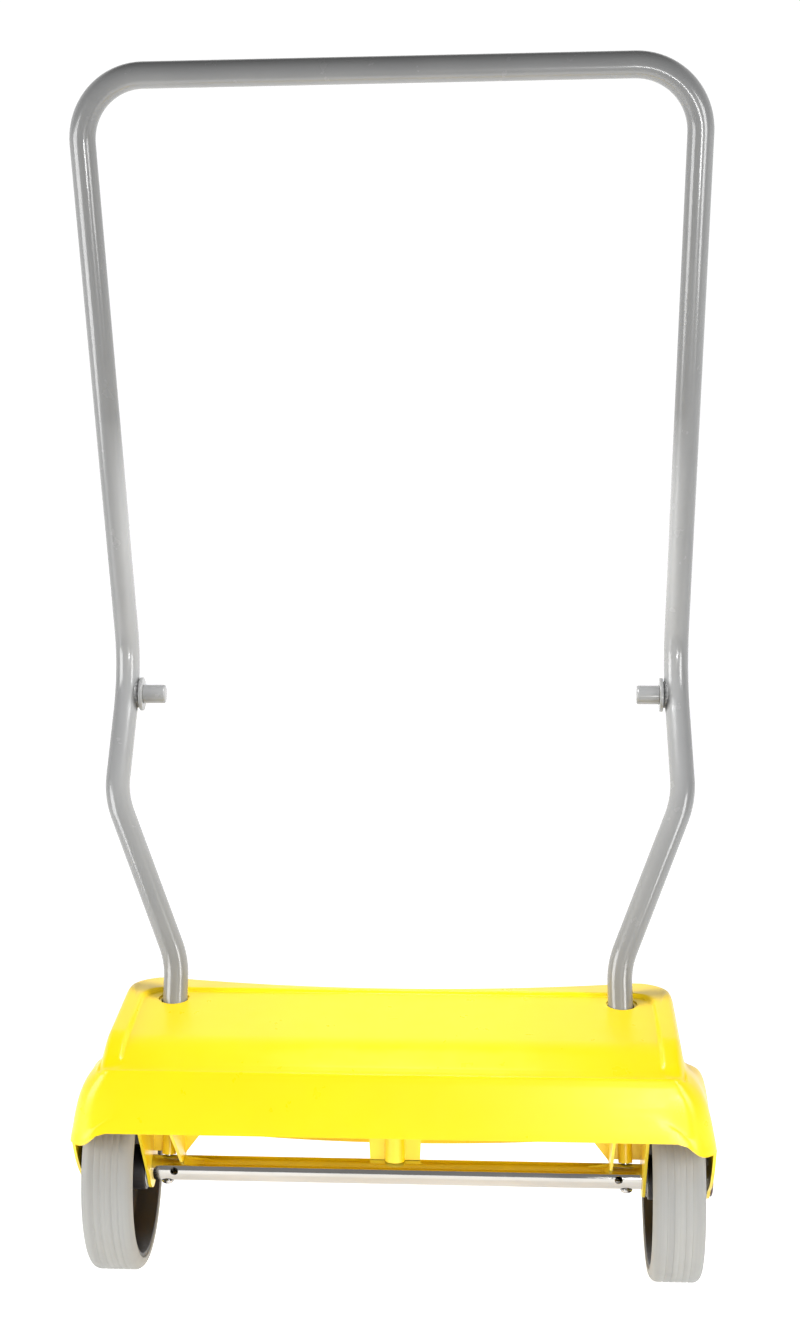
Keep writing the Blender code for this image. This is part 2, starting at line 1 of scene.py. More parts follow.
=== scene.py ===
"""Looks of a carpet sweeper's carriage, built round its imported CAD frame.

Fine meshes stand for the visible CAD nodes, every piece gets a procedural material, and a light table,
four soft lights and a camera make the studio. Lengths are in metres; X is right, Y is away from the
user and Z is up, from the floor.
"""

import json
import math

import bmesh
import bpy
import numpy as np
from mathutils import Matrix, Vector

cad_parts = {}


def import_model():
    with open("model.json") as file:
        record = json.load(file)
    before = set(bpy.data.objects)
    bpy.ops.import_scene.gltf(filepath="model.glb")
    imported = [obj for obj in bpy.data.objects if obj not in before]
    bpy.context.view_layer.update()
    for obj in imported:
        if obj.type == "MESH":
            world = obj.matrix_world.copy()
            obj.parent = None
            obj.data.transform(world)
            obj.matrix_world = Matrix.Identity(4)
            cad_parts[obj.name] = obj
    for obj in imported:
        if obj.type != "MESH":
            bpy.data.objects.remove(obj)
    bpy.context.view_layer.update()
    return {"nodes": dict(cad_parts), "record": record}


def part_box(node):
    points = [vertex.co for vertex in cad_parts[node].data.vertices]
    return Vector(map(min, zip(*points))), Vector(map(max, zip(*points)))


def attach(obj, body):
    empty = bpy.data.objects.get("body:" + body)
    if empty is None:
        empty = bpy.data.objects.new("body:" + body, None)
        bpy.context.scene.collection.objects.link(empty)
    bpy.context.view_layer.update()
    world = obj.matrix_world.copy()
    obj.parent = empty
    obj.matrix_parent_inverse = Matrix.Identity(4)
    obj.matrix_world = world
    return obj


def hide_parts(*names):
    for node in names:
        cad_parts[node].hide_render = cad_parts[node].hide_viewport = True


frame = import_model()

SIDES = (("left", -1), ("right", 1))

# ---- dimensions, from the frame where a node gives them ------------------------------------------


def box_middle(node):
    low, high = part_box(node)
    return (low + high) / 2


AXLE_LOW, AXLE_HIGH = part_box("axle_tube")
AXLE = Vector((0, (AXLE_LOW.y + AXLE_HIGH.y) / 2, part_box("tyre_left")[1].z / 2))
AXLE_RADIUS = 0.0125
AXLE_WALL = 0.002
AXLE_HALF = AXLE_HIGH.x
CROSS_HOLE_RADIUS = 0.004
CROSS_HOLE_INSET = 0.0076  # how far inside the leg's line the cross hole is
GAP = 0.0003  # clearance between pieces that touch
WHEEL_X = box_middle("tyre_right").x
WHEEL_RADIUS = AXLE.z
WHEEL_WIDTH = 0.050
TYRE_DEPTH = 0.012
HUB_RADIUS = 0.022
RIB_COUNT = 8

TUBE_RADIUS = 0.0125
TUBE_WALL = 0.0015
LEG_LEAN = math.radians(9.2)  # the legs lean away from the user over the axle
LEG_X = 0.2292  # at the axle
LEG_SPLAY = 0.0288  # how fast the legs draw in on their way up
LEG_START = 0.051  # along the leg, from the axle's centre
LEG_BEND_Z = 0.305
WAIST_X = 0.288
WAIST_Z = 0.469
KNEE = (0.283, 0.122, 0.594)  # X, Y from the axle, Z
TOP = (0.291, -0.065, 1.169)
BEND_RADII = (0.085, 0.080, 0.110, 0.062)  # from the leg up to the top corner

WALL = 0.003  # hood's wall
SKIRT_Y = -0.117  # the user's side of the hood, from the axle
FAR_Y = 0.098  # far face at the wheels, from the axle
FAR_SAG = 0.038  # how far the far wall bows back in the middle
FAR_SAG_HALF = 0.250
SKIRT_LOW = 0.171
CORNER_LOW = 0.157
FAR_LOW = 0.110
TONGUE_LOW = 0.080
OUTER_X = 0.3095  # outside of the hood's outer wall at the axle
CREASE_Z = 0.231
PANEL_BREAK = (-0.068, 0.2505)  # Y from the axle, Z
PANEL_END = (0.043, 0.2702)
PANEL_MIDDLE_Y = -0.037
RIM_Z = 0.274
RIDGE = 0.005
EAR_X = 0.246
EAR_TIP = 0.020  # radius of the ear's end round the axle
GUSSET_X = 0.214
BOSS_RADIUS = 0.007
SOCKET_RADIUS = 0.0165
LEG_HOLE_RADIUS = 0.0134
SCREW_RADIUS = 0.003
SCREW_HOLE_RADIUS = 0.0036
SCREW_LENGTH = 0.090
HEAD_RADIUS = 0.0062  # of the screws' dome heads
HEAD_HEIGHT = 0.0038
POST_HALF = 0.025  # the middle post's half width at its foot
POST_RADIUS = 0.010
SHARP = math.radians(50)  # edges sharper than this are bevelled

# ---- material tools ------------------------------------------------------------------------------


MIX_COLOUR_A, MIX_COLOUR_B, MIX_COLOUR_RESULT = 6, 7, 2  # colour sockets of a Mix node


class Nodes:
    """A material's node tree, with short calls to add and join nodes."""

    def __init__(self, name):
        self.material = bpy.data.materials.new(name)
        self.material.use_nodes = True
        self.tree = self.material.node_tree
        self.shader = self.tree.nodes["Principled BSDF"]
        self.place = self.add("ShaderNodeTexCoord").outputs["Object"]

    def add(self, kind, **values):
        node = self.tree.nodes.new(kind)
        for key, value in values.items():
            if key in node.inputs:
                node.inputs[key].default_value = value
            else:
                setattr(node, key, value)
        return node

    def join(self, out, node, socket):
        self.tree.links.new(out, node.inputs[socket])

    def scaled(self, scale):
        """The object's coordinates, scaled by three factors."""
        mapping = self.add("ShaderNodeMapping")
        mapping.inputs["Scale"].default_value = scale
        self.join(self.place, mapping, "Vector")
        return mapping.outputs["Vector"]

    def noise(self, scale, detail=4.0, roughness=0.5, vector=None):
        node = self.add("ShaderNodeTexNoise")
        node.inputs["Scale"].default_value = scale
        node.inputs["Detail"].default_value = detail
        node.inputs["Roughness"].default_value = roughness
        self.join(vector or self.place, node, "Vector")
        return node.outputs["Fac"]

    def ramp(self, value, stops):
        """A colour ramp: stops holds (position, colour)."""
        node = self.add("ShaderNodeValToRGB")
        elements = node.color_ramp.elements
        while len(elements) < len(stops):
            elements.new(0.5)
        for element, (position, colour) in zip(elements, stops):
            element.position = position
            element.color = (*colour, 1)
        self.join(value, node, "Fac")
        return node.outputs["Color"]

    def span(self, value, low, high, start=0.0, end=1.0):
        """Maps start..end of a value to low..high."""
        node = self.add("ShaderNodeMapRange")
        for socket, number in zip(("From Min", "From Max", "To Min", "To Max"), (start, end, low, high)):
            node.inputs[socket].default_value = number
        self.join(value, node, "Value")
        return node.outputs["Result"]

    def mix(self, share, a, b):
        """Colour a turning to colour b as share rises; each is a socket or a plain colour."""
        node = self.add("ShaderNodeMix", data_type="RGBA")
        self.join(share, node, "Factor")
        for socket, colour in ((MIX_COLOUR_A, a), (MIX_COLOUR_B, b)):
            if isinstance(colour, tuple):
                node.inputs[socket].default_value = (*colour, 1)
            else:
                self.tree.links.new(colour, node.inputs[socket])
        return node.outputs[MIX_COLOUR_RESULT]

    def worn_edges(self, low, high):
        """How far a point stands on a raised edge, from 0 to 1."""
        geometry = self.add("ShaderNodeNewGeometry")
        return self.span(geometry.outputs["Pointiness"], 0.0, 1.0, low, high)

    def bump(self, height, strength, distance, before=None):
        node = self.add("ShaderNodeBump")
        node.inputs["Strength"].default_value = strength
        node.inputs["Distance"].default_value = distance
        self.join(height, node, "Height")
        if before:
            self.join(before, node, "Normal")
        return node.outputs["Normal"]

    def finish(self, colour, roughness, normal=None, **constants):
        self.join(colour, self.shader, "Base Color")
        self.join(roughness, self.shader, "Roughness")
        if normal:
            self.join(normal, self.shader, "Normal")
        for socket, value in constants.items():
            self.shader.inputs[socket.replace("_", " ")].default_value = value
        return self.material


def yellow_plastic():
    n = Nodes("yellow_plastic")
    cloud = n.noise(9.0, 3.0)
    colour = n.ramp(cloud, [(0.30, (0.97, 0.665, 0.0008)), (0.70, (1.0, 0.70, 0.0012))])
    pale = n.mix(n.worn_edges(0.58, 0.80), colour, (1.0, 0.76, 0.04))
    rough = n.span(n.noise(45.0, 4.0, 0.6), 0.27, 0.34, 0.3, 0.7)
    skin = n.bump(n.noise(700.0, 2.0), 0.05, 0.0001)
    waves = n.bump(n.noise(18.0, 2.0), 0.04, 0.0010, skin)
    return n.finish(pale, rough, waves, IOR=1.43, Coat_Weight=0.10, Coat_Roughness=0.14)


def grey_paint():
    n = Nodes("grey_paint")
    cloud = n.noise(14.0, 4.0)
    colour = n.ramp(cloud, [(0.30, (0.235, 0.237, 0.238)), (0.70, (0.255, 0.257, 0.256))])
    rubbed = n.mix(n.worn_edges(0.56, 0.75), colour, (0.34, 0.34, 0.34))
    rough = n.span(n.noise(60.0, 4.0), 0.22, 0.28, 0.3, 0.7)
    orange_peel = n.bump(n.noise(260.0, 2.0), 0.02, 0.0002)
    return n.finish(rubbed, rough, orange_peel, Metallic=0.0, IOR=1.50, Coat_Weight=0.5, Coat_Roughness=0.07)


def chrome():
    n = Nodes("chrome")
    smear = n.noise(30.0, 5.0, 0.6, n.scaled((0.25, 1, 1)))
    colour = n.ramp(smear, [(0.30, (0.50, 0.49, 0.47)), (0.70, (0.60, 0.59, 0.57))])
    rough = n.span(n.noise(220.0, 6.0, 0.7, n.scaled((0.15, 1, 1))), 0.05, 0.14, 0.35, 0.75)
    fine = n.bump(n.noise(1400.0, 2.0, 0.5, n.scaled((0.05, 1, 1))), 0.05, 0.0001)
    return n.finish(colour, rough, fine, Metallic=1.0)


def zinc_steel():
    n = Nodes("zinc_steel")
    cloud = n.noise(180.0, 5.0, 0.6)
    colour = n.ramp(cloud, [(0.30, (0.50, 0.50, 0.51)), (0.70, (0.70, 0.69, 0.67))])
    rough = n.span(n.noise(500.0, 4.0), 0.22, 0.40, 0.3, 0.7)
    return n.finish(colour, rough, n.bump(n.noise(1800.0, 3.0), 0.15, 0.0001), Metallic=1.0)


def tyre_rubber():
    n = Nodes("tyre_rubber")
    bands = n.noise(110.0, 3.0, 0.55, n.scaled((1.0, 0.02, 0.02)))
    blotch = n.noise(16.0, 5.0, 0.6)
    banded = n.ramp(bands, [(0.34, (0.300, 0.302, 0.292)), (0.66, (0.365, 0.367, 0.352))])
    colour = n.mix(n.span(blotch, 0.0, 0.35, 0.35, 0.75), banded, (0.33, 0.315, 0.285))
    rough = n.span(n.noise(90.0, 4.0), 0.50, 0.68, 0.3, 0.7)
    grain = n.bump(n.noise(1200.0, 3.0), 0.20, 0.0002)
    scuffs = n.bump(n.noise(150.0, 5.0, 0.65), 0.12, 0.0005, grain)
    return n.finish(colour, rough, scuffs, IOR=1.48)


def black_plastic():
    n = Nodes("black_plastic")
    colour = n.ramp(n.noise(40.0, 4.0), [(0.3, (0.010, 0.008, 0.008)), (0.7, (0.020, 0.016, 0.016))])
    dusty = n.mix(n.worn_edges(0.53, 0.65), colour, (0.05, 0.045, 0.042))
    rough = n.span(n.noise(260.0, 4.0), 0.34, 0.50, 0.3, 0.7)
    return n.finish(dusty, rough, n.bump(n.noise(1600.0, 2.0), 0.25, 0.0002), IOR=1.47)


def white_nylon():
    n = Nodes("white_nylon")
    colour = n.ramp(n.noise(80.0, 4.0), [(0.3, (0.66, 0.64, 0.59)), (0.7, (0.76, 0.75, 0.71))])
    rough = n.span(n.noise(300.0, 3.0), 0.35, 0.50, 0.3, 0.7)
    return n.finish(colour, rough, n.bump(n.noise(1500.0, 2.0), 0.12, 0.0001), Subsurface_Weight=0.1)


def maroon_plastic():
    n = Nodes("maroon_plastic")
    colour = n.ramp(n.noise(120.0, 4.0), [(0.3, (0.040, 0.010, 0.014)), (0.7, (0.062, 0.016, 0.022))])
    rubbed = n.mix(n.worn_edges(0.53, 0.65), colour, (0.11, 0.05, 0.05))
    rough = n.span(n.noise(400.0, 3.0), 0.26, 0.38, 0.3, 0.7)
    return n.finish(rubbed, rough, n.bump(n.noise(1500.0, 2.0), 0.10, 0.0001), Coat_Weight=0.2)


MATERIALS = {
    "yellow_plastic": yellow_plastic(),
    "grey_paint": grey_paint(),
    "chrome": chrome(),
    "zinc_steel": zinc_steel(),
    "grey_tyre": tyre_rubber(),
    "black_plastic": black_plastic(),
    "white_nylon": white_nylon(),
    "maroon_plastic": maroon_plastic(),
}

# ---- mesh tools ----------------------------------------------------------------------------------


def make(name, mesh, slot, body, *stands_for):
    """A finished piece: its material, the body it rides on, and the CAD nodes it stands for."""
    obj = bpy.data.objects.new(name, mesh)
    bpy.context.scene.collection.objects.link(obj)
    mesh.materials.clear()
    mesh.materials.append(MATERIALS[slot])
    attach(obj, body)
    if stands_for:
        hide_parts(*stands_for)
    return obj


def modifier(obj, kind, **values):
    made = obj.modifiers.new(kind.title(), kind)
    for key, value in values.items():
        setattr(made, key, value)
    return made


def smooth(mesh, angle=32):
    mesh.shade_smooth()
    mesh.set_sharp_from_angle(angle=math.radians(angle))


def evaluated(mesh, *modifiers):
    """The mesh after a list of (kind, values) modifiers, welded and facing out."""
    obj = bpy.data.objects.new("work", mesh)
    bpy.context.scene.collection.objects.link(obj)
    for kind, values in modifiers:
        modifier(obj, kind, **values)
    bpy.context.view_layer.update()
    graph = bpy.context.evaluated_depsgraph_get()
    made = bpy.data.meshes.new_from_object(obj.evaluated_get(graph))
    bpy.data.objects.remove(obj, do_unlink=True)
    return cleaned(made)


def cleaned(mesh):
    bm = bmesh.new()
    bm.from_mesh(mesh)
    bmesh.ops.remove_doubles(bm, verts=bm.verts, dist=2e-6)
    bmesh.ops.dissolve_degenerate(bm, edges=bm.edges, dist=1e-7)
    bmesh.ops.recalc_face_normals(bm, faces=bm.faces)
    bm.to_mesh(mesh)
    bm.free()
    return mesh


def combined(mesh, other, operation):
    """A Boolean of two closed meshes."""
    tool = bpy.data.objects.new("tool", other)
    bpy.context.scene.collection.objects.link(tool)
    made = evaluated(mesh, ("BOOLEAN", {"operation": operation, "solver": "EXACT", "object": tool}))
    bpy.data.objects.remove(tool, do_unlink=True)
    return made


def cylinder(radius, start, end, segments=64):
    start, end = Vector(start), Vector(end)
    run = end - start
    place = Matrix.Translation((start + end) / 2) @ run.to_track_quat("Z", "Y").to_matrix().to_4x4()
    bm = bmesh.new()
    bmesh.ops.create_cone(
        bm, cap_ends=True, segments=segments, radius1=radius, radius2=radius, depth=run.length, matrix=place
    )
    mesh = bpy.data.meshes.new("cylinder")
    bm.to_mesh(mesh)
    bm.free()
    return mesh


def turned(profile, centre, axis, segments=128, closed=True):
    """A body of revolution: profile holds (radius, distance along the axis from the centre)."""
    centre, axis = Vector(centre), Vector(axis).normalized()
    turn = axis.to_track_quat("Z", "Y").to_matrix().to_4x4()
    bm = bmesh.new()
    rows = []
    for i in range(segments):
        a = 2 * math.pi * i / segments
        rows.append([bm.verts.new((r * math.cos(a), r * math.sin(a), h)) for r, h in profile])
    last = len(profile) if closed else len(profile) - 1
    for i in range(segments):
        row, following = rows[i], rows[(i + 1) % segments]
        for j in range(last):
            k = (j + 1) % len(profile)
            bm.faces.new((row[j], row[k], following[k], following[j]))
    bm.transform(Matrix.Translation(centre) @ turn)
    mesh = bpy.data.meshes.new("turned")
    bm.to_mesh(mesh)
    bm.free()
    return cleaned(mesh)


def arc(centre, radius, start, end, steps):
    """Points of an arc in a profile's plane, angles in degrees from the outward radius."""
    points = []
    for i in range(steps + 1):
        a = math.radians(start + (end - start) * i / steps)
        points.append((centre[0] + radius * math.cos(a), centre[1] + radius * math.sin(a)))
    return points


def prism(outline, start, thickness, across, up):
    """A plate: an outline in the plane of two directions, thick both ways along the third."""
    across, up = Vector(across), Vector(up)
    normal = across.cross(up)
    bm = bmesh.new()
    verts = [bm.verts.new(Vector(start) + across * u + up * v - normal * thickness / 2) for u, v in outline]
    face = bm.faces.new(verts)
    made = bmesh.ops.extrude_face_region(bm, geom=[face])
    moved = [part for part in made["geom"] if isinstance(part, bmesh.types.BMVert)]
    bmesh.ops.translate(bm, verts=moved, vec=normal * thickness)
    mesh = bpy.data.meshes.new("prism")
    bm.to_mesh(mesh)
    bm.free()
    return cleaned(mesh)


def joined(meshes):
    """One mesh of several closed bodies."""
    bm = bmesh.new()
    for mesh in meshes:
        bm.from_mesh(mesh)
    mesh = bpy.data.meshes.new("joined")
    bm.to_mesh(mesh)
    bm.free()
    return mesh


# ---- hood ----------------------------------------------------------------------------------------


def soft_step(value, low, high):
    """Rises smoothly from 0 at low to 1 at high."""
    t = min(max((value - low) / (high - low), 0.0), 1.0)
    return t * t * (3 - 2 * t)


def bent_line(y, points, radius):
    """A line through points, with each inner corner eased over a radius."""
    height = float(np.interp(y, [p[0] for p in points], [p[1] for p in points]))
    for before, corner, after in zip(points, points[1:], points[2:]):
        arriving = (corner[1] - before[1]) / (corner[0] - before[0])
        leaving = (after[1] - corner[1]) / (after[0] - corner[0])
        near = max(0.0, 1 - abs(y - corner[0]) / radius)
        height += (leaving - arriving) * radius * near * near / 4
    return height


CREASE_INSET = 0.009  # from the skirt's face to the crease above it


def panel_z(y):
    """Height of the top panel; y is measured from the axle."""
    return bent_line(y, [(SKIRT_Y + CREASE_INSET, CREASE_Z), PANEL_BREAK, PANEL_END], 0.012)


def crest_z(y):
    """Height of the border down the panel's sides; it fades out at the crease above the skirt."""
    places = [SKIRT_Y + 0.014, SKIRT_Y + 0.026, -0.060, PANEL_END[0]]
    lifts = [0.0, 0.002, RIDGE, RIM_Z - PANEL_END[1]]
    return panel_z(min(y, PANEL_END[0])) + float(np.interp(y, places, lifts))


def outer_low(y):
    """Lower edge of the outer wall, with its tongue round the axle."""
    tip = [(0.0, TONGUE_LOW), (0.004, 0.0804), (0.008, 0.0817), (0.012, 0.0837), (0.016, 0.0865)]
    flank = [(0.020, 0.0900), (0.025, 0.0950), (0.043, 0.1050), (0.056, 0.1160)]
    rise = [(0.068, 0.1290), (0.077, 0.1420), (0.086, CORNER_LOW)]
    reach, height = zip(*tip, *flank, *rise)
    return float(np.interp(abs(y), reach, height))


def low_z(x, y):
    """Lower edge of the hood at a point of its rim."""
    side = soft_step(x, 0.272, 0.300)
    end = SKIRT_LOW if y < 0 else FAR_LOW + (CORNER_LOW - FAR_LOW) * soft_step(x, 0.236, 0.256)
    return end * (1 - side) + outer_low(y) * side


def half_ring(half, near, far, near_radius, radius):
    """Half of a rounded rectangle, from its middle on the user's side round to its far middle."""
    middle_steps, corner_steps, side_steps = 30, 14, 64
    points = [((half - near_radius) * i / middle_steps, near) for i in range(middle_steps)]
    for i in range(corner_steps):
        a = math.pi / 2 * i / corner_steps
        points.append((half - near_radius * (1 - math.sin(a)), near + near_radius * (1 - math.cos(a))))
    for i in range(side_steps):
        points.append((half, near + near_radius + (far - near - near_radius - radius) * i / side_steps))
    for i in range(corner_steps):
        a = math.pi / 2 * i / corner_steps
        points.append((half - radius + radius * math.cos(a), far - radius + radius * math.sin(a)))
    points += [((half - radius) * (1 - i / middle_steps), far) for i in range(middle_steps + 1)]
    return points


def over_wheel(y, side_z, near_z):
    """Height over a wheel: side_z above the axle, near_z towards the user, falling away at both ends."""
    near = soft_step(-y, 0.0, 0.070)
    corner_drop = 0.006 * soft_step(-y, 0.080, 0.112)
    far_drop = 0.024 * soft_step(y, 0.0, 0.095)
    return side_z + (near_z - side_z) * near - corner_drop - far_drop


def bowed(x, y, sag):
    """The Y of a ring's point with the far wall bowed back by sag in its middle."""
    inside = max(0.0, 1 - (x / FAR_SAG_HALF) ** 2)
    return y - sag * inside * soft_step(y, 0.0, 0.060)


WALL_TOP = 0.188  # where the hood's upright outer wall starts to turn inwards


def hood_levels():
    """Control rings of the outer skin, from its lower edge to the middle of its panel.

    Each holds a half width, two Y faces from the axle, two corner radii, the far wall's bow and a height.
    """

    def wall(share):
        """Level between the lower edge, at share 0, and the top of the upright wall, at 1."""

        def level(x, y):
            over = soft_step(x, 0.260, 0.300)
            top = WALL_TOP * (1 - over) + over_wheel(y, WALL_TOP, 0.172) * over
            return low_z(x, y) * (1 - share) + top * share

        return level

    def step(side_z, near_z, skirt_z, far_z):
        """Level of the step over the wheels, and of the skirt and the far wall between them."""

        def level(x, y):
            over = soft_step(x, 0.252, 0.284)
            return (skirt_z if y < 0 else far_z) * (1 - over) + over_wheel(y, side_z, near_z) * over

        return level

    def crest(side_drop, near_z):
        """Level that is side_drop under the border's crest, and near_z at the crease on the user's side."""

        def level(x, y):
            near = 1 - soft_step(y, SKIRT_Y + 0.010, SKIRT_Y + 0.024)
            return (crest_z(y) - side_drop) * (1 - near) + near_z * near

        return level

    def panel(x, y):
        return panel_z(y)

    near, far, end = SKIRT_Y, FAR_Y, PANEL_END[0]
    crease = CREASE_Z
    slope = (PANEL_BREAK[1] - crease) / (PANEL_BREAK[0] - SKIRT_Y - CREASE_INSET)
    levels = [
        (OUTER_X + 0.0005, near, far + 0.003, 0.030, 0.040, FAR_SAG, low_z),
        (0.3096, near + 0.0001, far + 0.0028, 0.030, 0.040, FAR_SAG, wall(0.08)),
        (0.3088, near + 0.0006, far + 0.002, 0.029, 0.040, FAR_SAG, wall(0.5)),
        (0.3072, near + 0.0014, far + 0.001, 0.028, 0.040, FAR_SAG, wall(1.0)),
        (0.3055, near + 0.0020, far, 0.027, 0.040, FAR_SAG, step(0.1975, 0.1820, 0.195, 0.197)),
        (0.3030, near + 0.0025, far - 0.0004, 0.025, 0.040, FAR_SAG, step(0.2045, 0.1930, 0.200, 0.201)),
        (0.2990, near + 0.0029, far - 0.0008, 0.023, 0.040, FAR_SAG, step(0.2088, 0.2070, 0.205, 0.206)),
        (0.2935, near + 0.0034, far - 0.0012, 0.020, 0.040, FAR_SAG, step(0.2112, 0.2175, 0.209, 0.211)),
        (0.2885, near + 0.0038, far - 0.0018, 0.018, 0.040, FAR_SAG, step(0.2130, 0.2235, 0.213, 0.217)),
        (0.2855, near + 0.0043, far - 0.0023, 0.016, 0.040, FAR_SAG, step(0.2160, 0.2265, 0.217, 0.224)),
        (0.2836, near + 0.0047, far - 0.0028, 0.015, 0.040, FAR_SAG, step(0.2215, 0.2285, 0.2205, 0.232)),
        (0.2820, near + 0.0051, far - 0.0033, 0.014, 0.040, FAR_SAG, step(0.2300, 0.2305, 0.2235, 0.241)),
        (0.2802, near + 0.0056, far - 0.0036, 0.013, 0.040, FAR_SAG, step(0.2420, 0.2328, 0.2258, 0.250)),
        (0.2783, near + 0.0059, far - 0.0038, 0.0120, 0.0400, FAR_SAG, crest(0.0100, crease - 0.0035)),
        (0.2765, near + 0.0064, far - 0.0044, 0.0112, 0.0395, FAR_SAG, crest(0.0050, crease - 0.0012)),
        (0.2745, near + 0.0069, far - 0.0056, 0.0104, 0.0388, FAR_SAG, crest(0.0012, crease - 0.0001)),
        (0.2718, near + 0.0080, far - 0.0075, 0.0098, 0.0375, FAR_SAG, crest(0.0, crease + slope * 0.0002)),
        (0.2680, near + 0.0096, far - 0.0100, 0.0092, 0.0355, FAR_SAG, crest(0.0, crease + slope * 0.0010)),
        (0.2640, near + 0.0120, end + 0.0075, 0.0086, 0.0310, 0.0, crest(0.0, crease + slope * 0.0030)),
        (0.2605, near + 0.0145, end + 0.0038, 0.0080, 0.0270, 0.0, crest(0.0, crease + slope * 0.0055)),
        (0.2585, near + 0.0165, end + 0.0022, 0.0076, 0.0250, 0.0, crest(0.0006, crease + slope * 0.0075)),
        (0.2568, near + 0.0180, end + 0.0012, 0.0072, 0.0230, 0.0, panel),
        (0.2545, near + 0.0200, end - 0.0005, 0.0068, 0.0210, 0.0, panel),
        (0.2500, near + 0.0240, end - 0.0035, 0.0062, 0.0180, 0.0, panel),
    ]
    inner, steps = levels[-1], 14
    for i in range(1, steps):
        t = i / steps
        near, far = (edge + (PANEL_MIDDLE_Y - edge) * t * 0.98 for edge in inner[1:3])
        half, near_radius, radius = (inner[k] * (1 - t) for k in (0, 3, 4))
        levels.append((half, near, far, near_radius, radius, 0.0, panel))
    return levels


def spline_rows(rows, steps):
    """Rows of points run through a uniform cubic B-spline, keeping the first and last row."""
    rows = np.array(rows)
    padded = np.concatenate([2 * rows[:1] - rows[1:2], rows, 2 * rows[-1:] - rows[-2:-1]])
    fine = []
    for i in range(len(rows) - 1):
        a, b, c, d = padded[i : i + 4]
        for k in range(steps):
            t = k / steps
            weight_b = 3 * t**3 - 6 * t**2 + 4
            weight_c = -3 * t**3 + 3 * t**2 + 3 * t + 1
            fine.append(((1 - t) ** 3 * a + weight_b * b + weight_c * c + t**3 * d) / 6)
    return fine + [rows[-1]]


def hood_skin():
    """The hood's wall as a closed shell, before its holes are cut."""
    rows = []
    for half, near, far, near_radius, radius, sag, height in hood_levels():
        ring = half_ring(half, near, far, near_radius, radius)
        rows.append([(x, bowed(x, y, sag) + AXLE.y, height(x, y)) for x, y in ring])
    low, high = rows[-1][0][1], rows[-1][-1][1]
    count = len(rows[-1])
    middle = [low + (high - low) * i / (count - 1) for i in range(count)]
    rows.append([(0.0, y, panel_z(y - AXLE.y)) for y in middle])
    bm = bmesh.new()
    grid = [[bm.verts.new(point) for point in row] for row in spline_rows(rows, 4)]
    for row in grid:
        row[0].co.x = row[-1].co.x = 0.0
    for lower, upper in zip(grid, grid[1:]):
        for i in range(len(lower) - 1):
            bm.faces.new((lower[i], lower[i + 1], upper[i + 1], upper[i]))
    bmesh.ops.remove_doubles(bm, verts=bm.verts, dist=1e-5)
    mesh = bpy.data.meshes.new("skin")
    bm.to_mesh(mesh)
    bm.free()
    return evaluated(
        mesh,
        ("MIRROR", {"use_axis": (True, False, False), "use_clip": True, "merge_threshold": 1e-4}),
        ("SOLIDIFY", {"thickness": WALL, "offset": -1, "use_even_offset": True, "use_rim": True}),
    )


def leg_point(side, along):
    """A point on a leg's axis, so far up from the axle's centre."""
    ahead, above = along * math.sin(LEG_LEAN), along * math.cos(LEG_LEAN)
    return Vector((side * (LEG_X - LEG_SPLAY * above), AXLE.y + ahead, AXLE.z + above))


def hood_holes():
    """What is cut from the hood's wall: the leg holes, a little long outwards, and the axle's holes."""
    past_the_hood = OUTER_X + 0.09
    start, end = (-past_the_hood, *AXLE.yz), (past_the_hood, *AXLE.yz)
    holes = [cylinder(AXLE_RADIUS + GAP, start, end, 96)]
    for _, side in SIDES:
        hole = cylinder(LEG_HOLE_RADIUS + 0.0002, leg_point(side, 0.120), leg_point(side, 0.220), 72)
        middle = leg_point(side, 0.17)
        for vert in hole.vertices:
            vert.co.x = middle.x + (vert.co.x - middle.x) * 1.14 + side * 0.0013
        holes.append(hole)
    return holes


def under_panel(y):
    """Height inside the panel's wall, where the ribs end."""
    return panel_z(y) - WALL / 2


def bored(plate, x):
    """A plate at x with the axle's hole through it."""
    reach = 0.02
    hole = cylinder(AXLE_RADIUS + GAP, (x - reach, *AXLE.yz), (x + reach, *AXLE.yz), 96)
    return combined(plate, hole, "DIFFERENCE")


def leg_socket(side):
    """The tube that a leg stands in, with its top trimmed to the panel."""
    height = 0.112
    wall = [(LEG_HOLE_RADIUS, 0.0), (SOCKET_RADIUS, 0.0), (SOCKET_RADIUS, height), (LEG_HOLE_RADIUS, height)]
    socket = turned(wall, leg_point(side, LEG_START - 0.004), leg_point(side, 1) - leg_point(side, 0), 64)
    for vert in socket.vertices:
        if vert.co.z > 0.22:
            vert.co.z = under_panel(vert.co.y - AXLE.y)
    return socket


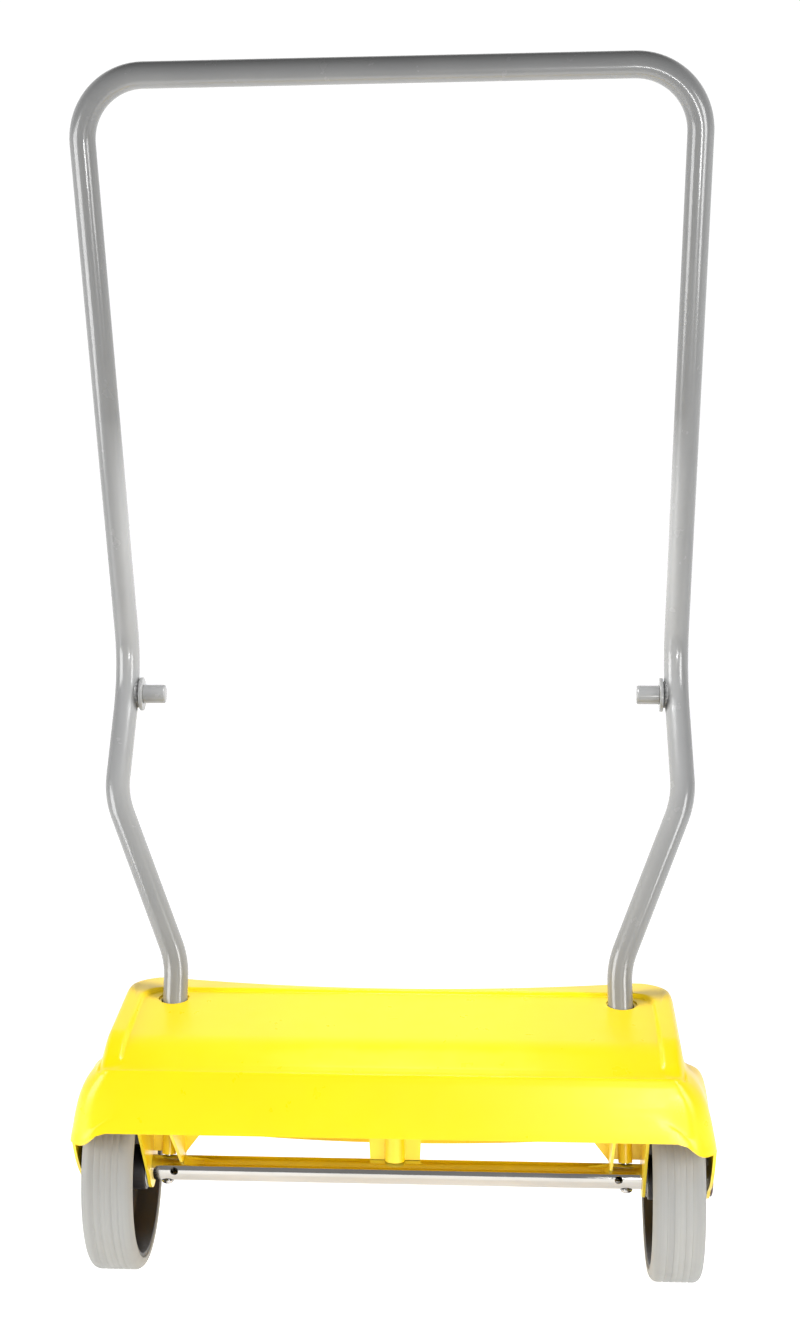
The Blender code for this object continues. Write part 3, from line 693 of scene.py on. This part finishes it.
def hood_ribs():
    """The moulded ears, gussets, webs, bosses and post under the hood."""
    across, deep, up = (1, 0, 0), (0, 1, 0), (0, 0, 1)
    top_of_axle = AXLE.z + AXLE_RADIUS + GAP
    crown = [(y, under_panel(y)) for y in (0.040, 0.020, PANEL_BREAK[0], -0.085)]
    tip_angles = np.linspace(0.3, math.pi - 0.3, 25)
    round_tip = [(-EAR_TIP * math.cos(a), AXLE.z - EAR_TIP * math.sin(a)) for a in tip_angles]
    ear = round_tip + [(0.060, 0.172)] + crown + [(-0.085, 0.174), (-0.068, 0.152)]
    saddle = AXLE.z + 0.0095
    gusset = [(-0.012, saddle), (0.012, saddle), (0.052, 0.172)] + crown + [(-0.085, 0.180), (-0.076, 0.158)]
    web_y, web_low, web_in = 0.006, 0.1155, 0.1935
    web_top = under_panel(0.010)
    web = [(GUSSET_X, web_low), (EAR_X, web_low), (EAR_X, web_top), (web_in, web_top), (web_in, 0.138)]
    web.append((GUSSET_X, 0.1116))
    solids = []
    for _, side in SIDES:
        for outline, x in ((ear, side * EAR_X), (gusset, side * GUSSET_X)):
            solids.append(bored(prism(outline, (x, AXLE.y, 0), WALL, deep, up), x))
        solids.append(prism([(side * u, v) for u, v in web], (0, AXLE.y + web_y, 0), WALL, across, up))
        bore = cylinder(SCREW_HOLE_RADIUS, leg_point(side, 0), leg_point(side, 0.1), 32)
        boss = cylinder(BOSS_RADIUS, leg_point(side, AXLE_RADIUS + 0.0011), leg_point(side, LEG_START), 48)
        solids.append(combined(boss, bore, "DIFFERENCE"))
        solids.append(leg_socket(side))
    top, top_half = under_panel(0.0), POST_HALF + 0.006
    post = [(-POST_HALF, top_of_axle), (POST_HALF, top_of_axle), (top_half, top), (-top_half, top)]
    solids.append(prism(post, (0, AXLE.y, 0), WALL, across, up))
    core_y = -0.003
    core_foot, core_top = (0, AXLE.y + core_y, top_of_axle), (0, AXLE.y + core_y, under_panel(core_y))
    solids.append(cylinder(POST_RADIUS, core_foot, core_top, 64))
    return solids


def hood():
    """The moulded yellow hood, with what is moulded under it."""
    shell = hood_skin()
    for hole in hood_holes():
        shell = combined(shell, hole, "DIFFERENCE")
    mesh = joined([shell, *hood_ribs()])
    smooth(mesh, 34)
    obj = make("hood", mesh, "yellow_plastic", "carriage", "hood_shell")
    modifier(obj, "BEVEL", width=0.0006, segments=2, limit_method="ANGLE", angle_limit=SHARP)


# ---- handle --------------------------------------------------------------------------------------


def rounded_path(corners, radii, turns):
    """The points of a bent tube: straight runs between corners, with an arc at each inner corner."""
    corners = [Vector(c) for c in corners]
    points = [corners[0]]
    for before, corner, after, radius in zip(corners, corners[1:], corners[2:], radii):
        a, b = (before - corner).normalized(), (after - corner).normalized()
        bend = math.pi - a.angle(b)
        back = radius * math.tan(bend / 2)
        middle = corner + (a + b).normalized() * (radius / math.cos(bend / 2))
        first, last = corner + a * back - middle, corner + b * back - middle
        for i in range(turns + 1):
            part = i / turns
            spoke = (first * math.sin((1 - part) * bend) + last * math.sin(part * bend)) / math.sin(bend)
            points.append(middle + spoke)
    return points + [corners[-1]]


def handle():
    """The bent tube of the handle, open at its two feet."""
    slope = math.tan(LEG_LEAN)
    right = [
        tuple(leg_point(1, LEG_START)),
        (LEG_X - LEG_SPLAY * (LEG_BEND_Z - AXLE.z), AXLE.y + (LEG_BEND_Z - AXLE.z) * slope, LEG_BEND_Z),
        (WAIST_X, AXLE.y + (WAIST_Z - AXLE.z) * slope, WAIST_Z),
        (KNEE[0], KNEE[1] + AXLE.y, KNEE[2]),
        (TOP[0], TOP[1] + AXLE.y, TOP[2]),
    ]
    corners = [(-x, y, z) for x, y, z in right] + right[::-1]
    points = rounded_path(corners, BEND_RADII + BEND_RADII[::-1], 20)
    curve = bpy.data.curves.new("handle_path", "CURVE")
    curve.dimensions = "3D"
    curve.bevel_depth = TUBE_RADIUS
    curve.bevel_resolution = 14
    curve.use_fill_caps = False
    spline = curve.splines.new("POLY")
    spline.points.add(len(points) - 1)
    for point, place in zip(spline.points, points):
        point.co = (*place, 1)
    path = bpy.data.objects.new("path", curve)
    bpy.context.scene.collection.objects.link(path)
    bpy.context.view_layer.update()
    tube = bpy.data.meshes.new_from_object(path.evaluated_get(bpy.context.evaluated_depsgraph_get()))
    bpy.data.objects.remove(path, do_unlink=True)
    wall = {"thickness": TUBE_WALL, "offset": -1, "use_even_offset": True, "use_rim": True}
    mesh = evaluated(cleaned(tube), ("SOLIDIFY", wall))
    smooth(mesh, 50)
    make("handle", mesh, "grey_paint", "carriage", "handle_tube")


def weld_bead(name, side):
    """Lumps of weld between the handle and a peg's flange, under the paint."""
    low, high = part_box("peg_flange_" + name)
    centre = (low + high) / 2
    face = high.x if side > 0 else low.x
    seed = np.random.default_rng(7 + side)
    parts = []
    lump_count = 15
    for i in range(lump_count):
        a = 2 * math.pi * i / lump_count
        reach = 0.0098 + 0.0012 * seed.random()
        y, z = centre.y + reach * 0.80 * math.cos(a), centre.z + reach * math.sin(a)
        x = face + side * (0.0012 + 0.0022 * abs(math.cos(a)) + 0.0004 * seed.random())
        size = 0.0030 + 0.0012 * seed.random()
        bm = bmesh.new()
        bmesh.ops.create_icosphere(bm, subdivisions=3, radius=size)
        for vert in bm.verts:
            vert.co.x *= 0.85
            vert.co += vert.normal * 0.0003 * math.sin(2400 * vert.co.y + 1700 * vert.co.z + i)
        bm.transform(Matrix.Translation((x, y, z)))
        mesh = bpy.data.meshes.new("lump")
        bm.to_mesh(mesh)
        bm.free()
        parts.append(mesh)
    fuse = ("REMESH", {"mode": "VOXEL", "voxel_size": 0.0006})
    bead = evaluated(joined(parts), fuse, ("SMOOTH", {"iterations": 2}))
    smooth(bead, 80)
    make("weld_bead_" + name, bead, "grey_paint", "carriage")


def flange_and_peg(name, side):
    """A disc flange and a pin with rounded edges."""
    low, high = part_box("peg_flange_" + name)
    centre, outer = (low + high) / 2, (high.z - low.z) / 2
    half = (high.x - low.x) / 2
    edge = 0.0008
    profile = [(0.0, -half)] + arc((outer - edge, -half + edge), edge, -90, 0, 5)
    profile += arc((outer - edge, half - edge), edge, 0, 90, 5) + [(0.0, half)]
    disc = turned(profile, centre, (1, 0, 0), 96, closed=False)
    smooth(disc)
    make("flange_" + name, disc, "grey_paint", "carriage", "peg_flange_" + name)
    low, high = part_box("peg_" + name)
    centre, outer = (low + high) / 2, (high.z - low.z) / 2
    half = (high.x - low.x) / 2
    edge = 0.0022
    profile = [(0.0, -half), (outer, -half)] + arc((outer - edge, half - edge), edge, 0, 60, 8)
    profile += [(outer * 0.72, half - 0.0002), (outer * 0.60, half), (0.0, half)]
    pin = turned(profile, centre, (-side, 0, 0), 96, closed=False)
    smooth(pin)
    make("pin_" + name, pin, "grey_paint", "carriage", "peg_" + name)


# ---- axle and wheels -----------------------------------------------------------------------------


def axle():
    """The bright axle tube with its cross holes."""
    bore = AXLE_RADIUS - AXLE_WALL
    edge = 0.0006
    profile = [(bore, -AXLE_HALF), (AXLE_RADIUS - edge, -AXLE_HALF), (AXLE_RADIUS, -AXLE_HALF + edge)]
    profile += [(AXLE_RADIUS, x) for x in np.linspace(-AXLE_HALF + 0.03, AXLE_HALF - 0.03, 24)]
    profile += [(AXLE_RADIUS, AXLE_HALF - edge), (AXLE_RADIUS - edge, AXLE_HALF), (bore, AXLE_HALF)]
    tube = turned(profile, AXLE, (1, 0, 0), 96)
    for _, side in SIDES:
        screw_hole = cylinder(SCREW_HOLE_RADIUS, leg_point(side, -0.03), leg_point(side, 0.03), 40)
        tube = combined(tube, screw_hole, "DIFFERENCE")
        x = side * (LEG_X - CROSS_HOLE_INSET)
        cross_hole = cylinder(CROSS_HOLE_RADIUS, (x, AXLE.y - 0.03, AXLE.z), (x, AXLE.y + 0.03, AXLE.z), 40)
        tube = combined(tube, cross_hole, "DIFFERENCE")
    smooth(tube, 40)
    obj = make("axle", tube, "chrome", "carriage", "axle_tube")
    modifier(obj, "BEVEL", width=0.0004, segments=2, limit_method="ANGLE", angle_limit=math.radians(55))


def screw(name, side):
    """A dome-head screw with a hexagon socket."""
    start = -(AXLE_RADIUS + GAP)
    axis = leg_point(side, 1) - leg_point(side, 0)
    angles = np.linspace(0, math.pi / 2, 14)[:-1]
    profile = [(0.0, SCREW_LENGTH), (SCREW_RADIUS, SCREW_LENGTH), (SCREW_RADIUS, 0.0)]
    profile += [(HEAD_RADIUS * math.cos(a), -HEAD_HEIGHT * math.sin(a)) for a in angles]
    profile.append((0.0, -HEAD_HEIGHT))
    body = turned(profile, leg_point(side, start), axis, 64, closed=False)
    drive = cylinder(0.0021, leg_point(side, start - 0.006), leg_point(side, start - 0.0016), 6)
    body = combined(body, drive, "DIFFERENCE")
    smooth(body, 35)
    make("screw_" + name, body, "zinc_steel", "carriage", "axle_screw_" + name)


def tyre(name, side):
    """A grey tyre with rounded shoulders and fine moulded grooves round its tread."""
    half, outer, seat = WHEEL_WIDTH / 2, WHEEL_RADIUS, WHEEL_RADIUS - TYRE_DEPTH + GAP
    shoulder = 0.0085
    profile = [(seat, half - 0.0004), (seat, -half + 0.0004), (seat + 0.0004, -half)]
    profile += arc((outer - shoulder, -half + shoulder), shoulder, -90, 0, 16)
    for place in (-0.0120, -0.0055, 0.0, 0.0055, 0.0120):
        depth = 0.00055 if abs(place) > 0.001 else 0.0004
        profile += [(outer, place - 0.0012), (outer - depth * 0.5, place - 0.0006), (outer - depth, place)]
        profile += [(outer - depth * 0.5, place + 0.0006), (outer, place + 0.0012)]
    profile += arc((outer - shoulder, half - shoulder), shoulder, 0, 90, 16) + [(seat + 0.0004, half)]
    mesh = turned(profile, (side * WHEEL_X, AXLE.y, AXLE.z), (side, 0, 0), 200)
    smooth(mesh, 45)
    make("tyre_tread_" + name, mesh, "grey_tyre", "wheel_" + name, "tyre_" + name)


def rim(name, side):
    """A dished black wheel centre with ribs on its outer face."""
    seat, half = WHEEL_RADIUS - TYRE_DEPTH, WHEEL_WIDTH / 2 - 0.0012
    hub_in, hub_out, hub, bore = -0.0247, 0.0268, HUB_RADIUS, 0.0163
    profile = [(bore, hub_in)] + arc((hub - 0.001, hub_in + 0.001), 0.001, -90, 0, 4)
    profile += [(hub + 0.0008, -0.002)] + arc((hub + 0.0058, -0.001), 0.005, 180, 90, 6)
    profile += [(0.045, 0.0042), (0.066, 0.0040)] + arc((0.0745, -0.0045), 0.0075, 90, 12, 8)
    profile += [(0.0838, -half + 0.0006), (0.0842, -half), (seat, -half), (seat, half), (0.0842, half)]
    profile += [(0.0838, half - 0.0006), (0.0822, 0.0135)] + arc((0.0770, 0.0130), 0.005, -5, -85, 6)
    profile += [(0.066, 0.0080), (0.045, 0.0082)] + arc((hub + 0.0058, 0.0132), 0.005, 270, 180, 6)
    profile += [(hub + 0.0004, 0.020)] + arc((hub - 0.001, hub_out - 0.001), 0.001, 0, 90, 4)
    profile.append((bore, hub_out))
    centre = Vector((side * WHEEL_X, AXLE.y, AXLE.z))
    solids = [turned(profile, centre, (side, 0, 0), 144)]
    inner, outer = hub - 0.001, 0.0815
    rib = [(inner, 0.0070), (outer, 0.0100), (outer, 0.0160), (0.058, 0.0150), (inner, 0.0215)]
    for i in range(RIB_COUNT):
        a = 2 * math.pi * (i + 0.5) / RIB_COUNT
        out = Vector((0, math.cos(a), math.sin(a)))
        solids.append(prism([(u, side * v) for u, v in rib], centre, 0.0026, out, (1, 0, 0)))
    mesh = joined(solids)
    smooth(mesh, 30)
    obj = make("rim_" + name, mesh, "black_plastic", "wheel_" + name, "wheel_rim_" + name)
    modifier(obj, "BEVEL", width=0.0004, segments=2, limit_method="ANGLE", angle_limit=SHARP)


def end_cap(name, side):
    """The hollow dome over the axle's end."""
    low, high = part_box("axle_end_cap_" + name)
    radius, depth = (high.z - low.z) / 2, high.x - low.x
    wall, brim = 0.0015, 0.0012
    crown = 0.0026
    angles = np.linspace(0.05, 1.48, 20)
    dome = [(radius * math.cos(a) ** 0.62, depth - crown * (1 - math.sin(a))) for a in angles]
    inside = [(max(r - wall, 0.0), h - wall) for r, h in dome]
    profile = [(0.0, depth)] + dome[::-1] + [(radius, brim), (radius - 0.0003, 0.0)]
    profile += [(radius - wall, 0.0)] + inside + [(0.0, depth - wall)]
    base = low.x if side > 0 else high.x
    mesh = turned(profile, (base, AXLE.y, AXLE.z), (side, 0, 0), 96, closed=False)
    smooth(mesh, 40)
    make("end_cap_" + name, mesh, "maroon_plastic", "carriage", "axle_end_cap_" + name)


def carried_over():
    """Gives each CAD node that still shows the material of its slot."""
    slots = {part["node"]: part["material_slot"] for part in frame["record"]["subparts"]}
    for name, obj in frame["nodes"].items():
        if obj.hide_render:
            continue
        obj.data.materials.clear()
        obj.data.materials.append(MATERIALS[slots[name]])
        obj.data.shade_smooth()
        obj.data.set_sharp_from_angle(angle=math.radians(35))
        modifier(obj, "BEVEL", width=0.0002, segments=1, limit_method="ANGLE", angle_limit=math.radians(60))


# ---- studio --------------------------------------------------------------------------------------

FLOOR_GLOW = 0.74
FLOOR_FRONT = -0.70  # the table's edge, on the camera's side
BACKDROP = 0.85  # how bright the paper behind the object is
STUDIO = 0.22  # how bright the room behind the camera is
CEILING = 0.08
SHEET = 1.05  # how bright the backdrop is to the camera


def floor():
    """A glowing white light table."""
    bm = bmesh.new()
    bmesh.ops.create_grid(bm, x_segments=1, y_segments=1, size=30.0)
    for vert in bm.verts:
        vert.co.y = max(vert.co.y, FLOOR_FRONT)
    mesh = bpy.data.meshes.new("floor")
    bm.to_mesh(mesh)
    bm.free()
    obj = bpy.data.objects.new("floor", mesh)
    bpy.context.scene.collection.objects.link(obj)
    n = Nodes("light_table")
    colour = n.ramp(n.noise(2.0, 3.0), [(0.3, (0.80, 0.80, 0.795)), (0.7, (0.82, 0.82, 0.815))])
    rough = n.span(n.noise(40.0, 3.0), 0.60, 0.70, 0.3, 0.7)
    glow = {"Emission_Color": (1, 1, 1, 1), "Emission_Strength": FLOOR_GLOW}
    mesh.materials.append(n.finish(colour, rough, Specular_IOR_Level=0.2, **glow))


def softbox(name, place, target, size, power):
    """A rectangular light at place that faces target."""
    light = bpy.data.lights.new(name, "AREA")
    light.shape = "RECTANGLE"
    light.size, light.size_y = size
    light.energy = power
    obj = bpy.data.objects.new(name, light)
    bpy.context.scene.collection.objects.link(obj)
    obj.location = place
    obj.rotation_euler = (Vector(target) - Vector(place)).to_track_quat("-Z", "Y").to_euler()
    obj.visible_camera = False


def world():
    """A white backdrop to the camera; to the rest a pale wall behind the object under a dark ceiling."""
    made = bpy.data.worlds.new("studio")
    bpy.context.scene.world = made
    made.use_nodes = True
    tree = made.node_tree
    background = tree.nodes["Background"]
    background.inputs["Color"].default_value = (1, 1, 1, 1)

    def add(kind, **values):
        node = tree.nodes.new(kind)
        for key, value in values.items():
            setattr(node, key, value)
        return node

    def ramp(value, low, high, start, end):
        node = add("ShaderNodeMapRange", interpolation_type="SMOOTHSTEP")
        for socket, number in zip(("From Min", "From Max", "To Min", "To Max"), (start, end, low, high)):
            node.inputs[socket].default_value = number
        tree.links.new(value, node.inputs["Value"])
        return node

    direction = add("ShaderNodeSeparateXYZ")
    tree.links.new(add("ShaderNodeTexCoord").outputs["Generated"], direction.inputs["Vector"])
    around = ramp(direction.outputs["Y"], STUDIO, BACKDROP, -0.30, 0.35)
    height = ramp(direction.outputs["Z"], 1.0, 0.0, 0.64, 0.90)
    level = add("ShaderNodeMath", operation="MULTIPLY_ADD")
    tree.links.new(around.outputs["Result"], level.inputs[0])
    tree.links.new(height.outputs["Result"], level.inputs[1])
    level.inputs[2].default_value = CEILING
    shown = add("ShaderNodeMix", data_type="FLOAT")
    tree.links.new(add("ShaderNodeLightPath").outputs["Is Camera Ray"], shown.inputs["Factor"])
    tree.links.new(level.outputs["Value"], shown.inputs["A"])
    shown.inputs["B"].default_value = SHEET
    tree.links.new(shown.outputs["Result"], background.inputs["Strength"])
    bpy.context.scene.view_settings.view_transform = "Standard"


def lights():
    """Four boxes: both sides, over the hood, and low in front of the skirt's right end."""
    softbox("right_box", (1.30, -1.15, 0.62), (0, 0, 0.45), (0.50, 0.90), 13.5)
    softbox("left_box", (-1.55, -0.75, 0.55), (0, 0, 0.40), (0.90, 0.85), 17)
    softbox("hood_box", (0, -0.06, 0.85), (0, -0.03, 0.26), (0.28, 0.16), 3.3)
    softbox("low_box", (0.57, -2.00, 0.10), (0.24, -0.10, 0.20), (0.44, 0.24), 9.0)


CAMERA_PLACE = (0.114, -2.061, 0.798)  # from the axle's line
CAMERA_YAW = math.radians(-4.61)
CAMERA_PITCH = math.radians(5.10)
CAMERA_ROLL = math.radians(-0.37)
CAMERA_LENS = 57.57  # millimetres, on a 36 mm sensor
CAMERA_SHIFT = 0.0454


def camera():
    """The camera, from its place and its yaw, pitch and roll."""
    data = bpy.data.cameras.new("camera")
    obj = bpy.data.objects.new("camera", data)
    bpy.context.scene.collection.objects.link(obj)
    data.lens = CAMERA_LENS
    data.sensor_width = 36
    data.shift_x = CAMERA_SHIFT
    data.clip_start, data.clip_end = 0.05, 100
    yaw, pitch, roll = CAMERA_YAW, CAMERA_PITCH, CAMERA_ROLL
    forward = Vector((math.sin(yaw) * math.cos(pitch), math.cos(yaw) * math.cos(pitch), -math.sin(pitch)))
    right = Vector((math.cos(yaw), -math.sin(yaw), 0))
    up = right.cross(forward)
    across = right * math.cos(roll) + up * math.sin(roll)
    above = up * math.cos(roll) - right * math.sin(roll)
    turn = Matrix((across, above, -forward)).transposed().to_4x4()
    place = Vector(CAMERA_PLACE) + Vector((0, AXLE.y, 0))
    obj.matrix_world = Matrix.Translation(place) @ turn
    bpy.context.scene.camera = obj


# ---- assembly ------------------------------------------------------------------------------------

hood()
handle()
axle()
for side_name, side_sign in SIDES:
    flange_and_peg(side_name, side_sign)
    weld_bead(side_name, side_sign)
    screw(side_name, side_sign)
    tyre(side_name, side_sign)
    rim(side_name, side_sign)
    end_cap(side_name, side_sign)
carried_over()
floor()
world()
lights()
camera()
